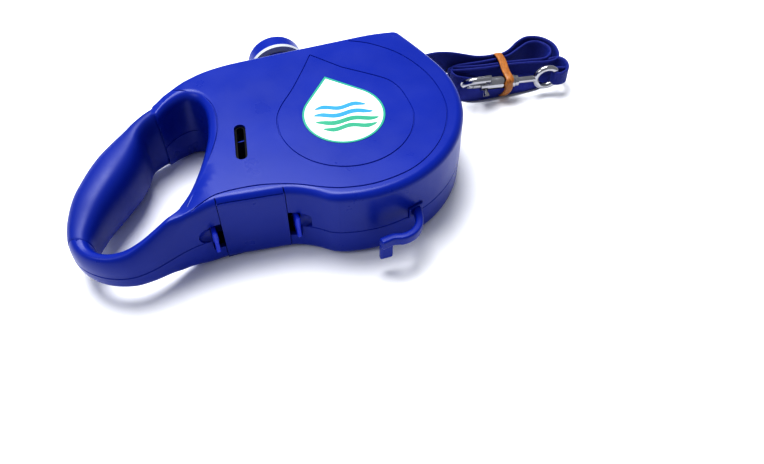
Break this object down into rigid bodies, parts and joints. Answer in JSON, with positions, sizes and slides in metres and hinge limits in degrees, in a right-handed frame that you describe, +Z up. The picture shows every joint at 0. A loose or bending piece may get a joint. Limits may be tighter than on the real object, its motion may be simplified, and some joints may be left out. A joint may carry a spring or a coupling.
{
  "type": "retractable leash",
  "caption": "Hand-held tape leash reel with a ring handle, brake button, screw-capped water tank, pull-out bag drawer, bowl hook, and folded tape that ends in a bolt snap.",
  "frame": {"origin": "centre of the round case, on the face that the case lies on", "axes": "+X towards the tape outlet, +Y towards the straight thumb edge with the button and the cap, +Z up through the thickness of the case"},
  "size_m": [0.3148, 0.1702, 0.0472],
  "materials": {
    "shell_plastic": "glossy moulded blue ABS",
    "grip_rubber": "satin soft grip in the same blue",
    "dark_blue_plastic": "fine matt texture",
    "tab_plastic": "glossy lighter blue",
    "grey_plastic": "satin light grey",
    "white_plastic": "satin natural white",
    "reel_plastic": "plain dark nylon",
    "tank_plastic": "clear pale blue",
    "steel": "plain bright steel",
    "chrome": "polished nickel plate",
    "webbing": "plain woven nylon tape",
    "label_print": "satin printed foil, plain white with a teal rim",
    "black_rubber": "matt black",
    "band_rubber": "translucent amber"
  },
  "bodies": {
    "case": {"lower_shell": "shell_plastic", "upper_shell": "shell_plastic", "handle_grip": "grip_rubber", "nozzle_insert": "dark_blue_plastic", "case_screws": "steel", "reel_axle": "steel", "spring_cup": "white_plastic", "spring_cover": "white_plastic", "power_spring": "steel", "tape_lead": "webbing", "guide_pin": "steel", "pawl_pin": "steel", "pawl_spring": "steel", "water_tank": "tank_plastic", "neck_collar": "dark_blue_plastic", "slot_insert": "black_rubber", "bowl_hook": "shell_plastic", "label": "label_print", "strap_run": "webbing", "strap_hank": "webbing", "strap_end_loop": "webbing", "rubber_band": "band_rubber", "snap_swivel": "chrome"},
    "reel": {"spool": "reel_plastic", "ratchet_flange": "reel_plastic", "tape_roll": "webbing"},
    "button": {"brake_button": "shell_plastic"},
    "lock": {"button_lock": "dark_blue_plastic"},
    "pawl": {"brake_pawl": "steel"},
    "cap": {"tank_cap": "shell_plastic", "cap_ring": "grey_plastic", "cap_liner": "white_plastic"},
    "drawer": {"bag_drawer": "shell_plastic"},
    "rear_tab": {"latch_rear": "tab_plastic"},
    "front_tab": {"latch_front": "tab_plastic"},
    "snap": {"snap_body": "chrome", "snap_spring": "steel"},
    "bolt": {"snap_bolt": "chrome"}
  },
  "joints": [
    {"name": "reel_spin", "type": "hinge", "parent": "case", "child": "reel", "pos_m": [0.006, -0.008, 0.02], "axis": [0, 0, 1], "continuous": true},
    {"name": "button_press", "type": "slide", "parent": "case", "child": "button", "axis": [0, -1, 0], "range_m": [0, 0.004], "stiffness_N_per_m": 250},
    {"name": "lock_slide", "type": "slide", "parent": "button", "child": "lock", "axis": [1, 0, 0], "range_m": [0, 0.005]},
    {"name": "pawl_turn", "type": "hinge", "parent": "case", "child": "pawl", "pos_m": [-0.022, 0.0385, 0.04], "axis": [0, 0, 1], "range_deg": [0, 6.94]},
    {"name": "cap_turn", "type": "hinge", "parent": "case", "child": "cap", "pos_m": [-0.018, 0.078, 0.02], "axis": [0, 1, 0], "range_deg": [0, 540]},
    {"name": "drawer_slide", "type": "slide", "parent": "case", "child": "drawer", "axis": [0, -1, 0], "range_m": [0, 0.046]},
    {"name": "rear_tab_squeeze", "type": "hinge", "parent": "drawer", "child": "rear_tab", "pos_m": [-0.0826, -0.036, 0.021], "axis": [0, 0, 1], "range_deg": [0, 6], "stiffness_Nm_per_rad": 0.5},
    {"name": "front_tab_squeeze", "type": "hinge", "parent": "drawer", "child": "front_tab", "pos_m": [-0.0404, -0.036, 0.021], "axis": [0, 0, 1], "range_deg": [-6, 0], "stiffness_Nm_per_rad": 0.5},
    {"name": "snap_swivel_turn", "type": "hinge", "parent": "case", "child": "snap", "pos_m": [0.086, 0.0286, 0.0132], "axis": [0.9863, -0.165, 0], "range_deg": [-20, 8]},
    {"name": "bolt_slide", "type": "slide", "parent": "snap", "child": "bolt", "axis": [0.9863, -0.165, 0], "range_m": [0, 0.008], "stiffness_N_per_m": 80}
  ],
  "couplings": [
    {"joint": "pawl_turn", "follows": "button_press", "rad_per_m": 30.3},
    {"joint": "front_tab_squeeze", "follows": "rear_tab_squeeze", "ratio": -1}
  ]
}
